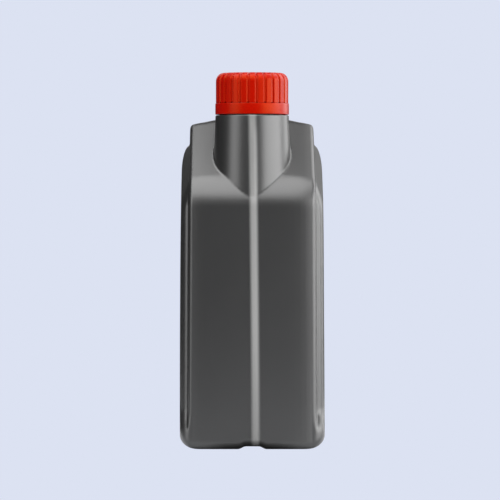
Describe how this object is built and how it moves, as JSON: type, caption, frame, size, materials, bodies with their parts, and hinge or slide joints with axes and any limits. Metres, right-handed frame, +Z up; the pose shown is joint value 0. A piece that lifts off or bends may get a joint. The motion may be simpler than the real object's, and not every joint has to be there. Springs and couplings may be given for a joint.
{
  "type": "oil jug",
  "caption": "Narrow upright oil jug with a sloped shoulder, forward neck under a ribbed screw cap, raised side panels and a tube handle behind the neck.",
  "frame": {"origin": "centre of the base, on the ground plane under the middle of the overall box", "axes": "+Z up, -Y out of the front face below the neck, +X across the narrow width, to the right for a viewer who looks along +Y"},
  "size_m": [0.1156, 0.2006, 0.3],
  "materials": {
    "body_plastic": "satin dark grey blow moulded polyethylene",
    "cap_plastic": "semi gloss red moulded polypropylene",
    "liner_foam": "off-white foamed polyethylene wad"
  },
  "bodies": {
    "jug": {"jug_body": "body_plastic", "tamper_band": "cap_plastic"},
    "seal": {"cap_liner": "liner_foam"},
    "cap": {"screw_cap": "cap_plastic"}
  },
  "joints": [
    {"name": "cap_lift", "type": "slide", "parent": "jug", "child": "seal", "axis": [0, 0, 1], "range_m": [0, 0.0106]},
    {"name": "cap_turn", "type": "hinge", "parent": "seal", "child": "cap", "pos_m": [0, -0.06706, 0.286], "axis": [0, 0, 1], "range_deg": [0, 630]}
  ],
  "couplings": [
    {"joint": "cap_lift", "follows": "cap_turn", "m_per_rad": 0.00095493}
  ]
}
